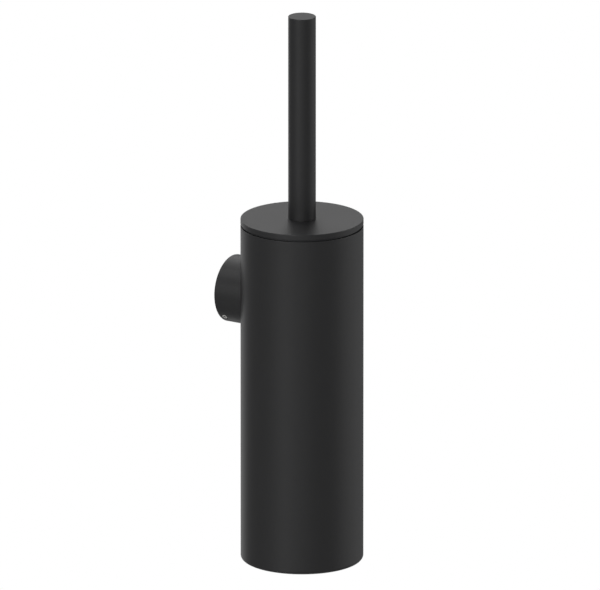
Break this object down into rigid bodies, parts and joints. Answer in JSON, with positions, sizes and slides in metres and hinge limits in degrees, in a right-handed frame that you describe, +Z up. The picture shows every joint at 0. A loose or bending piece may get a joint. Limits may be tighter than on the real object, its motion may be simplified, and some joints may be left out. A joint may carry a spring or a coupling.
{
  "type": "toilet brush holder",
  "caption": "Wall-mounted cylindrical toilet brush holder with a round rosette, lift-out liner, and a brush hung from a flat round lid with a straight bar handle.",
  "frame": {"origin": "centre of the wall bracket's back face, on the finished wall", "axes": "+Z up along the can; +Y into the wall; the can stands off the wall towards -Y; +X to the right seen from the room"},
  "size_m": [0.08, 0.0943, 0.3666],
  "materials": {
    "matte_black_coat": "matte powder coat",
    "stainless_steel": "turned",
    "dark_grey_plastic": "moulded matte",
    "black_plastic": "moulded matte",
    "black_bristle": "matte filament"
  },
  "bodies": {
    "holder": {"outer_can": "matte_black_coat", "rosette": "matte_black_coat", "wall_bracket": "stainless_steel", "grub_screw": "stainless_steel", "rosette_screw_upper": "stainless_steel", "rosette_screw_lower": "stainless_steel", "rosette_washer_upper": "stainless_steel", "rosette_washer_lower": "stainless_steel"},
    "liner": {"liner_cup": "dark_grey_plastic"},
    "brush": {"lid": "matte_black_coat", "handle_tube": "matte_black_coat", "handle_insert": "stainless_steel", "lid_washer": "stainless_steel", "lid_nut": "stainless_steel", "brush_rod": "stainless_steel", "centring_disc": "black_plastic", "brush_core": "black_plastic", "bristle_row_1": "black_bristle", "bristle_row_2": "black_bristle", "bristle_row_3": "black_bristle", "bristle_row_4": "black_bristle", "bristle_row_5": "black_bristle", "bristle_row_6": "black_bristle", "bristle_row_7": "black_bristle", "bristle_row_8": "black_bristle", "end_tuft": "black_bristle"}
  },
  "joints": [
    {"name": "liner_lift", "type": "slide", "parent": "holder", "child": "liner", "axis": [0, 0, 1], "range_m": [0, 0.23]},
    {"name": "brush_lift", "type": "slide", "parent": "liner", "child": "brush", "axis": [0, 0, 1], "range_m": [0, 0.225]}
  ]
}
